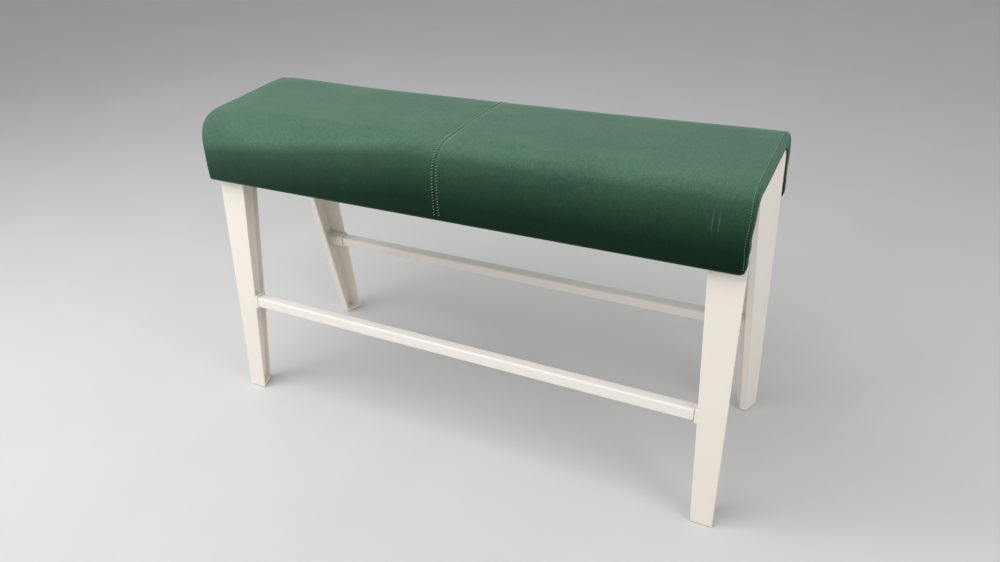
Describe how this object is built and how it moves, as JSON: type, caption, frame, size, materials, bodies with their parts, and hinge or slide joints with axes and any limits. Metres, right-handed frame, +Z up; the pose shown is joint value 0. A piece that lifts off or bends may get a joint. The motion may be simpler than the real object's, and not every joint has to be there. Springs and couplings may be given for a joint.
{
  "type": "upholstered bench",
  "caption": "Long counter-height bench: green upholstered saddle seat on white open-channel end frames, tied together by long square foot rails.",
  "frame": {"origin": "on the floor, under the middle of the seat", "axes": "+X along the bench towards the right end seen from the front, -Y towards the front, +Z up"},
  "size_m": [1.199, 0.4256, 0.7057],
  "materials": {
    "frame_enamel": "satin white powder coat on cast aluminium",
    "rail_enamel": "satin white powder coat",
    "fixing_steel": "zinc plated",
    "glide_nylon": "matt nylon",
    "plywood": "raw moulded plywood",
    "padding": "open-cell foam",
    "seat_cover": "fine-grained matt green upholstery",
    "liner_cloth": "black nonwoven dust cover"
  },
  "bodies": {
    "root": {"right_end_frame": "frame_enamel", "left_end_frame": "frame_enamel", "front_foot_rail": "rail_enamel", "rear_foot_rail": "rail_enamel", "rail_plug_front_right": "rail_enamel", "rail_lock_screw_front_right": "fixing_steel", "foot_glide_front_right": "glide_nylon", "seat_bolt_front_beam_right": "fixing_steel", "seat_washer_front_beam_right": "fixing_steel", "tee_nut_front_beam_right": "fixing_steel", "seat_bolt_front_leg_right": "fixing_steel", "seat_washer_front_leg_right": "fixing_steel", "tee_nut_front_leg_right": "fixing_steel", "rail_plug_front_left": "rail_enamel", "rail_lock_screw_front_left": "fixing_steel", "foot_glide_front_left": "glide_nylon", "seat_bolt_front_beam_left": "fixing_steel", "seat_washer_front_beam_left": "fixing_steel", "tee_nut_front_beam_left": "fixing_steel", "seat_bolt_front_leg_left": "fixing_steel", "seat_washer_front_leg_left": "fixing_steel", "tee_nut_front_leg_left": "fixing_steel", "rail_plug_rear_right": "rail_enamel", "rail_lock_screw_rear_right": "fixing_steel", "foot_glide_rear_right": "glide_nylon", "seat_bolt_rear_beam_right": "fixing_steel", "seat_washer_rear_beam_right": "fixing_steel", "tee_nut_rear_beam_right": "fixing_steel", "seat_bolt_rear_leg_right": "fixing_steel", "seat_washer_rear_leg_right": "fixing_steel", "tee_nut_rear_leg_right": "fixing_steel", "rail_plug_rear_left": "rail_enamel", "rail_lock_screw_rear_left": "fixing_steel", "foot_glide_rear_left": "glide_nylon", "seat_bolt_rear_beam_left": "fixing_steel", "seat_washer_rear_beam_left": "fixing_steel", "tee_nut_rear_beam_left": "fixing_steel", "seat_bolt_rear_leg_left": "fixing_steel", "seat_washer_rear_leg_left": "fixing_steel", "tee_nut_rear_leg_left": "fixing_steel", "seat_shell": "plywood", "seat_foam": "padding", "cover_panel_right": "seat_cover", "cover_end_band_right": "seat_cover", "cover_panel_left": "seat_cover", "cover_end_band_left": "seat_cover", "underside_liner": "liner_cloth"}
  },
  "joints": []
}
